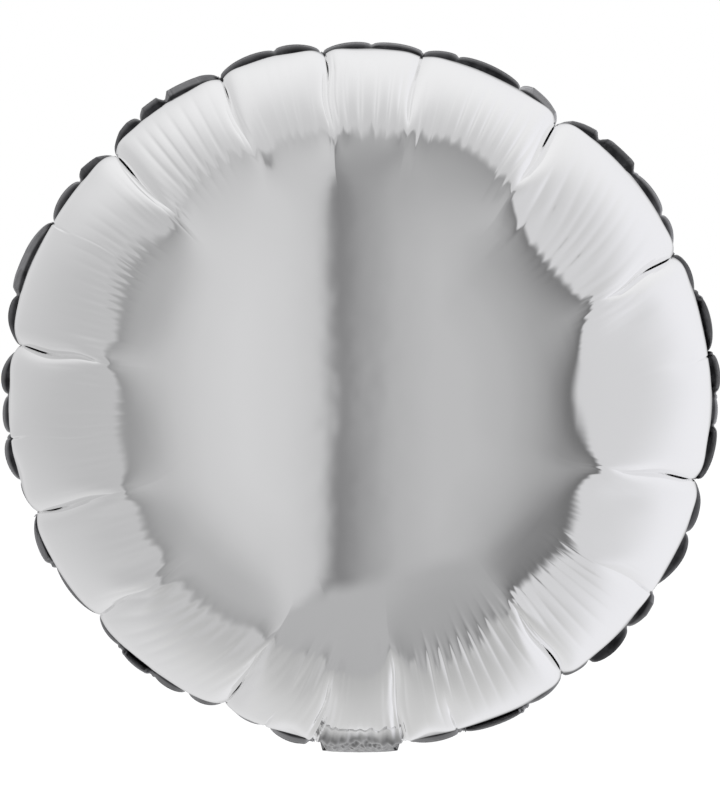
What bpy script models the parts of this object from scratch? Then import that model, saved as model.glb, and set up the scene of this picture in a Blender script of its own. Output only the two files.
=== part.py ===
"""Round foil balloon, inflated, with its filling tail tucked behind it. Metres, +Z up.

The front faces -Y and +X is to the right of somebody who looks at it. The origin is the centre of the
envelope, halfway between the two crowns, where the air carries the balloon.

Two flat discs of metallised film are welded together round their edge. Blown up, they take the shape of
the surface that holds the most gas, and the length that is too much at the rim goes into radial creases,
with a puffed lobe between each pair. The film is drawn thicker than it is, as a wall of WALL.
"""

import math

import bmesh
import bpy
from mathutils import Matrix, Vector

# The balloon laid flat, as it is sold: an 18 inch round
FLAT_DIAMETER = 0.457
SEAM_WIDTH = 0.006
INFLATED_SHARE = 0.7627
WELD_RADIUS = INFLATED_SHARE * (FLAT_DIAMETER / 2 - SEAM_WIDTH)

# Thicknesses that stand in for film, and the gap between neighbours
WALL = 0.002
SEAM_THICKNESS = 0.001
FILM = 0.0004
GAP = 0.0003

# Bearing in degrees and strength of each crease. Bearings run anticlockwise from +X, seen from the front.
CREASES = (
    (6.5, 0.40), (24.5, 1.00), (53.5, 1.00), (79.5, 0.70), (96.5, 0.85),
    (114.0, 0.80), (136.0, 1.00), (151.0, 0.40), (172.5, 1.00), (186.5, 0.40),
    (200.5, 0.90), (220.0, 0.60), (245.5, 0.90), (254.0, 0.35), (263.0, 0.55),
    (277.0, 0.55), (286.5, 0.50), (306.0, 0.90), (326.0, 0.45), (346.0, 0.90),
)
CREASE_DEPTH = 0.0065
CREASE_HALF_WIDTH = 0.0065
WEAKEST_CREASE_START = 0.80
STRENGTH_REACH = 0.22
LOBE_SWELL = 0.0022
LOBE_START = 0.60

# Where a panel is drawn: shares of the rim's radius, and shares of the way across each lobe
RING_SHARES = (0.14, 0.34, 0.51, 0.65, 0.77, 0.87, 0.94, 0.985, 1.0)
LOBE_STEPS = (0.0, 0.09, 0.30, 0.50, 0.70, 0.91)

# How far the welded margin's rows lie outside the rim, and its puckers
MARGIN_REACHES = (-0.0020, 0.0008, 0.0028, 0.0050)
MARGIN_PUCKERS = 38
PUCKER_HEIGHT = 0.0016
CREASE_NIP = 0.0012

# The neck, and the tail that the balloon is filled through
NECK_BEARING = 270.0
NECK_WIDTH = 0.040
THROAT_LENGTH = 0.005
TAIL_WIDTH = 0.037
TAIL_SEAL_WIDTH = 0.0037
TAIL_LENGTH = 0.064
TAIL_STEPS = 7
FOLD_CLEARANCE = 0.0016
TAIL_CLEARANCE = 0.0012
VALVE_WIDTH = 0.026
VALVE_OVERHANG = 0.004

# Where each layer of the tail lies, outwards from the middle of the stack
LAYER_PITCH = FILM + GAP
INNER_LAYER = 0.5 * LAYER_PITCH
OUTER_LAYER = 1.5 * LAYER_PITCH
STACK = 2 * OUTER_LAYER + FILM

# The panels' rims stand off the margin, and further off the films of the neck
RIM_HEIGHT = SEAM_THICKNESS / 2 + GAP
NECK_RIM_HEIGHT = STACK / 2 + GAP
NECK_BLEND_DEGREES = 5.0

FRONT, BACK = -1, 1


def clear_scene():
    """Removes whatever the scene holds before the balloon is made."""
    for obj in list(bpy.data.objects):
        bpy.data.objects.remove(obj)


def finish(name, colour, roughness, metallic):
    """A Principled material with the piece's colour."""
    made = bpy.data.materials.new(name)
    made.use_nodes = True
    shader = made.node_tree.nodes["Principled BSDF"]
    shader.inputs["Base Color"].default_value = (*colour, 1.0)
    shader.inputs["Roughness"].default_value = roughness
    shader.inputs["Metallic"].default_value = metallic
    return made


# The blown-up surface. Its slope against the rim's plane is the arcsine of the squared share of the rim's
# radius, which is what a disc that can't stretch takes on when it encloses the most gas.

def smooth(value):
    """0 up to 0, 1 from 1, and an even curve between."""
    value = min(1.0, max(0.0, value))
    return value * value * (3 - 2 * value)


def slope_at(share):
    """The surface's slope, 0 at the crown and a right angle at the rim."""
    return math.asin(min(1.0, share * share))


def height_at(share, steps=200):
    """How far the surface stands off the rim's plane, where the radius is this share of the rim's."""
    low = slope_at(share)
    step = (math.pi / 2 - low) / steps
    return WELD_RADIUS / 2 * step * sum(math.sqrt(math.sin(low + (i + 0.5) * step)) for i in range(steps))


def share_after(length, steps=400):
    """The share of the rim's radius that is left after this length of film, measured from the rim."""
    step = math.pi / 2 / steps
    slope, gone = math.pi / 2, 0.0
    while gone < length:
        gone += WELD_RADIUS / (2 * math.sqrt(math.sin(slope - step / 2))) * step
        slope -= step
    return math.sqrt(math.sin(slope))


def turn_between(bearing, other):
    """The smaller turn from one bearing to another, in radians, with its sign."""
    return math.radians((other - bearing + 180.0) % 360.0 - 180.0)


def lobes():
    """Each crease with the one after it, once round."""
    return list(zip(CREASES, CREASES[1:] + CREASES[:1]))


def lobe_place(bearing):
    """How far across its lobe a bearing lies, 0 to 1, and the mean strength of the lobe's two creases."""
    for (first, strength), (second, other) in lobes():
        along = turn_between(first, bearing) / turn_between(first, second)
        if 0.0 <= along < 1.0:
            return along, (strength + other) / 2
    return 0.0, 0.0


def swell(share, bearing):
    """How far the film stands off the round surface: out in the lobes, in at the creases."""
    along, strength = lobe_place(bearing)
    crown = smooth((share - LOBE_START) / (1.0 - LOBE_START))
    total = LOBE_SWELL * crown * strength * math.sin(math.pi * along) ** 0.7
    for crease, strength in CREASES:
        across = abs(turn_between(crease, bearing)) * WELD_RADIUS * share
        start = WEAKEST_CREASE_START - STRENGTH_REACH * strength
        growth = smooth((share - start) / (1.0 - start))
        total -= CREASE_DEPTH * strength * growth * max(0.0, 1 - across / CREASE_HALF_WIDTH) ** 2
    return total


def neck_share(bearing):
    """1 across the neck, and down to 0 within a few degrees on either side."""
    half = math.degrees(NECK_WIDTH / 2 / WELD_RADIUS)
    off = abs(math.degrees(turn_between(NECK_BEARING, bearing)))
    return 1.0 - smooth((off - half - 1.0) / NECK_BLEND_DEGREES)


def surface_point(share, bearing, side, lift=0.0):
    """A point of the film at the FRONT or the BACK, lifted off it by lift."""
    slope = slope_at(share)
    off = swell(share, bearing) + lift
    radius = WELD_RADIUS * share + off * math.sin(slope)
    rim = RIM_HEIGHT + (NECK_RIM_HEIGHT - RIM_HEIGHT) * neck_share(bearing) * share ** 4
    height = rim + height_at(share) + off * math.cos(slope)
    angle = math.radians(bearing)
    return Vector((radius * math.cos(angle), side * height, radius * math.sin(angle)))


def rim_radius(bearing):
    """The weld line's distance from the centre."""
    return WELD_RADIUS + swell(1.0, bearing)


def lobe_bearings():
    """The bearings that a ring of film is drawn through, once round, from the first crease."""
    found = []
    for (first, _), (second, _) in lobes():
        span = math.degrees(turn_between(first, second))
        found += [(first + span * step) % 360.0 for step in LOBE_STEPS]
    return found


# Making sheets

def row_of(bm, places, closed):
    """A chain of vertices and edges through places."""
    verts = [bm.verts.new(place) for place in places]
    pairs = list(zip(verts, verts[1:]))
    if closed:
        pairs.append((verts[-1], verts[0]))
    return verts, [bm.edges.new(pair) for pair in pairs]


def lofted(rows, closed):
    """A sheet through rows of points, each bridged to the next, and the first row's vertices."""
    bm = bmesh.new()
    first, edges = row_of(bm, rows[0], closed)
    for places in rows[1:]:
        _, new_edges = row_of(bm, places, closed)
        bmesh.ops.bridge_loops(bm, edges=edges + new_edges)
        edges = new_edges
    return bm, first


def as_object(bm, name, material):
    """Puts a bmesh into the scene as one smooth-shaded object."""
    bmesh.ops.recalc_face_normals(bm, faces=bm.faces)
    mesh = bpy.data.meshes.new(name)
    bm.to_mesh(mesh)
    bm.free()
    mesh.shade_smooth()
    mesh.set_sharp_from_angle(angle=math.radians(40))
    mesh.materials.append(material)
    obj = bpy.data.objects.new(name, mesh)
    bpy.context.scene.collection.objects.link(obj)
    return obj


def thicken(obj, thickness, offset):
    """Gives a sheet its wall: offset -1 grows it inwards and 0 to both sides."""
    wall = obj.modifiers.new("Wall", "SOLIDIFY")
    wall.thickness = thickness
    wall.offset = offset
    return obj


def strip(name, path, centre, width, thickness, material):
    """A flat strip that follows a path of (y, z) points, width across X about centre."""
    rows = [[(centre - width / 2, y, z), (centre + width / 2, y, z)] for y, z in path]
    bm, _ = lofted(rows, closed=False)
    return thicken(as_object(bm, name, material), thickness, 0)


# The envelope

def build_panel(name, side, material):
    """One dished sheet: a flat crown disc, then ring after ring out to the weld line."""
    bearings = lobe_bearings()
    rows = [[surface_point(share, bearing, side) for bearing in bearings] for share in RING_SHARES]
    bm, crown = lofted(rows, closed=True)
    bm.faces.new(crown)
    panel = as_object(bm, name, material)
    if panel.data.polygons[-1].normal.y * side < 0:
        panel.data.flip_normals()
    return thicken(panel, WALL, -1)


def margin_point(bearing, reach):
    """A point of the welded margin, reach outside the rim, nipped in at the creases and puckered."""
    out = smooth(reach / MARGIN_REACHES[-1])
    along, _ = lobe_place(bearing)
    radius = rim_radius(bearing) + reach - CREASE_NIP * out * (1 - math.sin(math.pi * along))
    angle = math.radians(bearing)
    pucker = PUCKER_HEIGHT * out * math.sin(MARGIN_PUCKERS * angle)
    return radius * math.cos(angle), pucker, radius * math.sin(angle)


def build_seam_band(material):
    """The welded margin: one thin band round the rim, open at the neck."""
    half = math.degrees((NECK_WIDTH / 2 + GAP) / WELD_RADIUS)
    start, end = NECK_BEARING + half - 360.0, NECK_BEARING - half
    turned = sorted(b - 360.0 if b > NECK_BEARING else b for b in lobe_bearings())
    bearings = [start] + [b for b in turned if start + 1.0 < b < end - 1.0] + [end]
    rows = [[margin_point(bearing, reach) for bearing in bearings] for reach in MARGIN_REACHES]
    bm, _ = lofted(rows, closed=False)
    return thicken(as_object(bm, "seam_band", material), SEAM_THICKNESS, 0)


def throat_end():
    """The height at which the throat ends and the tail folds away."""
    return -(rim_radius(NECK_BEARING) + THROAT_LENGTH)


def build_throat(material):
    """The two films of the neck, where they leave the envelope between the panels' rims."""
    top = -(rim_radius(NECK_BEARING) - WALL)
    for name, side in (("throat_front_film", FRONT), ("throat_back_film", BACK)):
        path = [(side * OUTER_LAYER, top), (side * OUTER_LAYER, throat_end())]
        strip(name, path, 0.0, NECK_WIDTH, FILM, material)


# The tail, folded back from the neck's end and up along the back panel

def layer_path(length, lift):
    """The (y, z) path of one layer of the tail. lift is its place in the stack, outwards from the panel."""
    start = THROAT_LENGTH + FOLD_CLEARANCE
    end = STACK / 2 + TAIL_CLEARANCE
    path = []
    for i in range(TAIL_STEPS + 1):
        along = length * i / TAIL_STEPS
        stand_off = start + (end - start) * smooth(along / TAIL_LENGTH)
        point = surface_point(share_after(along), NECK_BEARING, BACK, stand_off + lift)
        path.append((point.y - NECK_RIM_HEIGHT + FOLD_CLEARANCE, point.z))
    return path


def hinge_line():
    """An empty on the line that the tail folds about."""
    hinge = bpy.data.objects.new("tail_hinge", None)
    hinge.location = (0.0, 0.0, throat_end() - FOLD_CLEARANCE)
    bpy.context.scene.collection.objects.link(hinge)
    return hinge


def hang_on(piece, hinge):
    """Carries a piece on the hinge, without moving it."""
    piece.data.transform(Matrix.Translation(-hinge.location))
    piece.parent = hinge


def build_tail(film, valve):
    """Two outer films, the welds down their sides, and the two strips of the valve between them."""
    inner_width = TAIL_WIDTH - 2 * TAIL_SEAL_WIDTH - 2 * GAP
    across = (TAIL_WIDTH - TAIL_SEAL_WIDTH) / 2
    valve_length = TAIL_LENGTH + VALVE_OVERHANG
    outer, inner = layer_path(TAIL_LENGTH, OUTER_LAYER), layer_path(TAIL_LENGTH, -OUTER_LAYER)
    middle = layer_path(TAIL_LENGTH, 0.0)
    pieces = (
        strip("tail_outer_film", outer, 0.0, inner_width, FILM, film),
        strip("tail_inner_film", inner, 0.0, inner_width, FILM, film),
        strip("tail_seal_left", middle, -across, TAIL_SEAL_WIDTH, STACK, film),
        strip("tail_seal_right", middle, across, TAIL_SEAL_WIDTH, STACK, film),
        strip("valve_outer_strip", layer_path(valve_length, INNER_LAYER), 0.0, VALVE_WIDTH, FILM, valve),
        strip("valve_inner_strip", layer_path(valve_length, -INNER_LAYER), 0.0, VALVE_WIDTH, FILM, valve),
    )
    hinge = hinge_line()
    for piece in pieces:
        hang_on(piece, hinge)


def main():
    """Builds the balloon."""
    clear_scene()
    foil = finish("metallised_film", (0.80, 0.80, 0.81), 0.12, 1.0)
    weld = finish("welded_margin", (0.30, 0.30, 0.31), 0.35, 1.0)
    clear_film = finish("valve_film", (0.86, 0.87, 0.88), 0.30, 0.0)
    build_panel("front_panel", FRONT, foil)
    build_panel("back_panel", BACK, foil)
    build_seam_band(weld)
    build_throat(foil)
    build_tail(foil, clear_film)


main()
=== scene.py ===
"""Dresses the round foil balloon: its film is cut flat, welded, blown up and creased, and then finished as foil."""

from __future__ import annotations

import logging
import math
from collections.abc import Iterator
from dataclasses import dataclass, field
from enum import Enum
from functools import partial

import bmesh
import bpy
import numpy as np
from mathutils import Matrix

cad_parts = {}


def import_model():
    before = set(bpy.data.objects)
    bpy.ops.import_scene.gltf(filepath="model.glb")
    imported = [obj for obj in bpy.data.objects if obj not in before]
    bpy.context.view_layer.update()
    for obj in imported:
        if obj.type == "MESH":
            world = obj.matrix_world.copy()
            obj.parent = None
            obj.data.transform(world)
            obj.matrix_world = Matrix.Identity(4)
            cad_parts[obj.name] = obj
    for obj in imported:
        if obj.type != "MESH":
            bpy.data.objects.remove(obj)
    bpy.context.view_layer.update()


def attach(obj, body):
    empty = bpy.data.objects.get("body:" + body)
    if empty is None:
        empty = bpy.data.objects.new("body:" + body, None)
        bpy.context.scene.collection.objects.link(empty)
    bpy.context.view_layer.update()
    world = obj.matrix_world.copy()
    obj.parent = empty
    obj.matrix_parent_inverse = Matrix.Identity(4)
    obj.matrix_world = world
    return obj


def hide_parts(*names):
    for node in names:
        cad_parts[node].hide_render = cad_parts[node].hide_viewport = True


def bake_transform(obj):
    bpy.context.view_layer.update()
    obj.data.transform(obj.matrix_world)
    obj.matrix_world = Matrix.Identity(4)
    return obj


LOG = logging.getLogger("round_foil_balloon")
TAU = 2 * math.pi
# Points round each ring of a finished panel
COLUMNS = 2200
# Places at which a curve is worked out before it is read off
SAMPLES = 4001
# The middle of the neck, and where the margin ends on each side of it: bearings in degrees
NECK_BEARING = 270.0
NECK_GAP = (263.0, 277.0)


class Side(Enum):
    """The two discs of film, by the sign of Y on which each lies."""

    FRONT = -1
    BACK = 1


@dataclass(frozen=True)
class Crease:
    """One radial crease of the envelope.

    Args:
        bearing: degrees round the rim, from +X towards +Z.
        strength: how deep it is, from 0 to 1.
        notch: how far the rim falls there, in mm.
    """

    bearing: float
    strength: float
    notch: float


CREASES = tuple(
    Crease(*numbers)
    for numbers in (
        (6.5, 0.40, 2.4), (24.5, 1.00, 5.4), (53.5, 1.00, 9.8), (79.5, 0.70, 3.0), (96.5, 0.85, 5.4),
        (114.0, 0.80, 5.0), (136.0, 1.00, 7.0), (151.0, 0.40, 3.0), (172.5, 1.00, 6.6), (186.5, 0.40, 1.6),
        (200.5, 0.90, 5.4), (220.0, 0.60, 3.6), (245.5, 0.90, 4.6), (254.0, 0.35, 1.4), (263.0, 0.55, 1.6),
        (277.0, 0.55, 1.6), (286.5, 0.50, 1.6), (306.0, 0.90, 4.4), (326.0, 0.45, 2.8), (346.0, 0.90, 5.2),
    )
)

# The rim between its notches: bearing in degrees and radius of the weld in mm
RIM = (
    (0, 172.9), (12, 171.6), (35, 171.2), (45, 170.8), (62, 169.0), (74, 170.0), (88, 170.2), (104, 172.0),
    (122, 171.7), (143, 172.6), (160, 174.0), (178, 172.7), (193, 172.6), (208, 171.0), (228, 168.8), (240, 168.2),
    (252, 168.3), (262, 170.4), (278, 170.4), (290, 171.0), (299, 172.2), (305, 171.2), (315, 172.4), (336, 173.2),
    (352, 171.9), (360, 172.9),
)

# Lobes whose wrinkles run on to the rim: bearing in degrees, half width in radians and slope
STREAKS = (
    (8.0, 0.22, 0.10), (35.0, 0.30, 0.24), (64.0, 0.20, 0.70), (89.0, 0.20, 0.85), (105.0, 0.16, 0.34),
    (124.0, 0.20, 0.62), (226.0, 0.20, 0.52), (241.0, 0.12, 0.36), (262.0, 0.16, 0.26), (287.0, 0.24, 0.30),
    (316.0, 0.30, 0.14),
)

# Wrinkles round the dark middle: bearing in degrees, where they end as a share of the weld's radius, and their slope
WRINKLE_ENDS = (
    (0, 0.64, 0.02), (15, 0.64, 0.04), (26, 0.67, 0.20), (42, 0.66, 0.24), (50, 0.69, 0.36), (55, 0.75, 0.34),
    (66, 0.76, 0.24), (77, 0.76, 0.28), (84, 0.74, 0.16), (96, 0.74, 0.22), (104, 0.74, 0.10), (114, 0.74, 0.08),
    (128, 0.74, 0.26), (137, 0.73, 0.30), (144, 0.73, 0.18), (155, 0.72, 0.12), (165, 0.71, 0.18), (173, 0.70, 0.28),
    (180, 0.70, 0.18), (188, 0.70, 0.10), (200, 0.70, 0.12), (215, 0.70, 0.10), (230, 0.72, 0.12), (246, 0.74, 0.22),
    (255, 0.76, 0.16), (262, 0.76, 0.18), (270, 0.80, 0.05), (278, 0.74, 0.18), (290, 0.72, 0.18), (304, 0.70, 0.26),
    (310, 0.68, 0.06), (330, 0.66, 0.03), (346, 0.66, 0.05), (360, 0.64, 0.02),
)

# How far the wrinkles lean, and how far the creases do: bearing in degrees, then radians for each radius
LEANS = (
    (0, 0.20, 0.10), (15, 0.35, 0.16), (26, 0.41, 0.17), (42, 0.41, 0.12), (50, 0.18, 0.10), (55, 0.05, 0.05),
    (66, 0.0, 0.0), (155, 0.0, 0.0), (165, 0.0, -0.03), (173, 0.0, -0.05), (180, -0.1, -0.08), (188, -0.1, -0.1),
    (200, -0.2, -0.12), (215, -0.4, -0.17), (230, -0.5, -0.20), (246, -0.6, -0.25), (255, -0.6, -0.3),
    (262, -0.4, -0.1), (270, 0.0, 0.0), (304, 0.0, 0.0), (310, 0.0, 0.05), (330, 0.1, 0.12), (346, 0.2, 0.15),
    (360, 0.20, 0.10),
)


def smooth(value: np.ndarray | float) -> np.ndarray | float:
    """Return an eased 0 to 1 for a value from 0 to 1, held at its ends."""
    held = np.clip(value, 0.0, 1.0)
    return held * held * (3 - 2 * held)


def running(values: np.ndarray) -> np.ndarray:
    """Return the running total of values, starting from 0."""
    return np.concatenate([[0.0], np.cumsum(values)])


def turn_from(bearing: float, angles: np.ndarray) -> np.ndarray:
    """Return the signed angle from a bearing in degrees to each angle in radians, within half a turn."""
    return (angles - math.radians(bearing) + math.pi) % TAU - math.pi


def follow(at: np.ndarray | float, known: np.ndarray, values: np.ndarray) -> np.ndarray:
    """Return each column of values, which are given at rising known places, at other places."""
    return np.stack([np.interp(at, known, values[:, d]) for d in range(values.shape[1])], -1)


def by_bearing(table: tuple[tuple[float, ...], ...], bearings: np.ndarray) -> np.ndarray:
    """Return the columns of a table that begins with bearings in degrees, at bearings in radians."""
    rows = np.array(table)
    return follow(np.degrees(bearings) % 360, rows[:, 0], rows[:, 1:]).T


def between(points: np.ndarray, at: np.ndarray) -> np.ndarray:
    """Return a smooth curve's points at places counted in its first axis, which has one spare point at each end.

    Args:
        points: the curve's points, with a spare one before and after.
        at: places from 1 to the last but one.

    Returns:
        A point of the curve for each place.
    """
    low = np.clip(np.floor(at).astype(int), 1, len(points) - 3)
    t = (at - low).reshape(-1, *[1] * (points.ndim - 1))
    p0, p1, p2, p3 = (points[low + step] for step in (-1, 0, 1, 2))
    return 0.5 * (2 * p1 + (p2 - p0) * t + (2 * p0 - 5 * p1 + 4 * p2 - p3) * t**2 + (p3 - p0 + 3 * (p1 - p2)) * t**3)


def row_lengths(rows: np.ndarray) -> np.ndarray:
    """Return the distance from each point of a closed row to the next one."""
    return np.linalg.norm(np.roll(rows, -1, axis=-2) - rows, axis=-1)


def grid_normals(grid: np.ndarray, last: tuple[float, float, float] | None = None) -> np.ndarray:
    """Return the direction off the film at each point of closed rings.

    Args:
        grid: rings by columns by x, y, z.
        last: the way in which the last ring heads, where the ring before it doesn't say.

    Returns:
        Unit directions, as many as there are points.
    """
    outward = np.empty_like(grid)
    outward[1:-1] = grid[2:] - grid[:-2]
    outward[0] = grid[1] - grid[0]
    outward[-1] = grid[-1] - grid[-2] if last is None else last
    found = np.cross(outward, np.roll(grid, -1, 1) - np.roll(grid, 1, 1))
    return found / (np.linalg.norm(found, axis=-1, keepdims=True) + 1e-15)


@dataclass(frozen=True)
class RoundProfile:
    """The section of two discs of film that can't stretch, welded at their edge and blown up.

    Args:
        weld_radius: the blown-up radius of the weld, in metres.
        flat_radius: the radius of the weld when the film lies flat.
    """

    weld_radius: float = 0.16970075
    flat_radius: float = 0.2225

    def places(self, flat: np.ndarray) -> tuple[np.ndarray, np.ndarray]:
        """Return the radius and the height above the weld plane of points at a flat radius.

        Args:
            flat: distances from the crown, measured in the film.

        Returns:
            Two arrays of the same length as flat.
        """
        angle = np.linspace(1e-6, math.sqrt(math.pi / 2), SAMPLES)
        share = np.sqrt(np.sin(angle**2))
        step = angle[1] - angle[0]
        rates = self.weld_radius * angle / share, self.weld_radius * angle * share
        length, fall = (running((rate[1:] + rate[:-1]) / 2 * step) for rate in rates)
        at = flat * length[-1] / self.flat_radius
        radius = np.interp(at, length, self.weld_radius * share)
        return radius, fall[-1] - np.interp(at, length, fall)

    def slopes(self, radius: np.ndarray) -> np.ndarray:
        """Return how far the film leans back from the crown's plane at each radius, in radians."""
        return np.arcsin(np.clip((radius / self.weld_radius) ** 2, 0.0, 1.0))

    def rings(self, count: int, inner: float) -> np.ndarray:
        """Return the flat radii of rings from inner out to the weld, closer together at the weld."""
        step = np.linspace(0.0, 1.0, count)
        return inner + (self.flat_radius - inner) * (1.45 * step - 0.45 * step * step)


def pull(near: np.ndarray, far: np.ndarray, rest: np.ndarray | float) -> None:
    """Move two sets of points along the lines between them until they are a rest length apart.

    Args:
        near: one set, which is changed.
        far: the other, which is changed too.
        rest: the length that each pair is brought to.
    """
    gap = far - near
    length = np.sqrt(np.einsum("ijk,ijk->ij", gap, gap)) + 1e-12
    gap *= (0.5 * (length - rest) / length)[..., None]
    near += gap
    far -= gap


@dataclass
class FilmSolver:
    """A grid of film points over both discs, kept at their lengths while gas presses them out.

    Args:
        flat: flat radius of each ring of one disc, from the innermost out to the weld.
        points: rings of the front, the weld, and the back's rings inwards, by columns, by x, y, z.
        lengths: the length of each ring of one disc.
        soft: how stiff each column is, 0 on a crease.
        around: rest length of the links round each ring.
        outward: rest length of the links from each ring to the next.
        across: rest length of the slanting links.
        before: the points one step ago.
        held: the points at the start.
    """

    flat: np.ndarray
    points: np.ndarray
    lengths: np.ndarray
    soft: np.ndarray
    around: np.ndarray = field(init=False)
    outward: np.ndarray = field(init=False)
    across: np.ndarray = field(init=False)
    before: np.ndarray = field(init=False)
    held: np.ndarray = field(init=False)

    def __post_init__(self) -> None:
        """Work out the rest lengths from the rings' lengths."""
        flat = np.concatenate([self.flat, self.flat[-2::-1]])
        lengths = np.concatenate([self.lengths, self.lengths[-2::-1]]) / self.points.shape[1]
        self.around = lengths[:, None]
        self.outward = np.abs(np.diff(flat))[:, None]
        middle = (lengths[1:] + lengths[:-1]) / 2
        self.across = np.sqrt(middle**2 + np.diff(flat) ** 2)[:, None]
        self.before = self.points.copy()
        self.held = self.points.copy()

    def step(self, press: float, damp: float, stiff: float, stiff_out: float) -> None:
        """Move the film one step.

        Args:
            press: how far the gas moves the film in one step.
            damp: the share of its speed that the film keeps.
            stiff: bending stiffness round the rings.
            stiff_out: bending stiffness along the radii.
        """
        x = self.points
        speed = (x - self.before) * damp
        self.before = x.copy()
        x += speed + grid_normals(x) * press
        bent = (np.roll(x, -1, 1) - 2 * x + np.roll(x, 1, 1)) * self.soft
        x -= stiff * (np.roll(bent, -1, 1) - 2 * bent + np.roll(bent, 1, 1))
        bent = x[2:] - 2 * x[1:-1] + x[:-2]
        x[2:-2] -= stiff_out * (bent[2:] - 2 * bent[1:-1] + bent[:-2])
        self.keep_lengths()
        x[:2], x[-2:] = self.held[:2], self.held[-2:]

    def keep_lengths(self) -> None:
        """Bring every link of the grid back to its length, once."""
        x = self.points
        pull(x[:, 0::2], x[:, 1::2], self.around)
        turned = np.roll(x, -1, 1)
        pull(turned[:, 0::2], turned[:, 1::2], self.around)
        x[:] = np.roll(turned, 1, 1)
        for first in (0, 1):
            near, far = x[first:-1:2], x[first + 1 :: 2]
            count = min(len(near), len(far))
            near, far = near[:count], far[:count]
            rest = self.across[first::2][:count]
            for turn in (-1, 1):
                turned = np.roll(far, turn, 1)
                pull(near, turned, rest)
                far[:] = np.roll(turned, -turn, 1)
            pull(near, far, self.outward[first::2][:count])


@dataclass
class BlownFilm:
    """The blown-up film: one grid of points for each side, from the crown out to the weld.

    Args:
        flat: flat radius of each ring.
        bearings: angle of each column in radians, closer together at the creases.
        sides: rings by columns by x, y, z for each side.
        creases: which columns are creases.
    """

    flat: np.ndarray
    bearings: np.ndarray
    sides: dict[Side, np.ndarray]
    creases: np.ndarray


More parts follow.
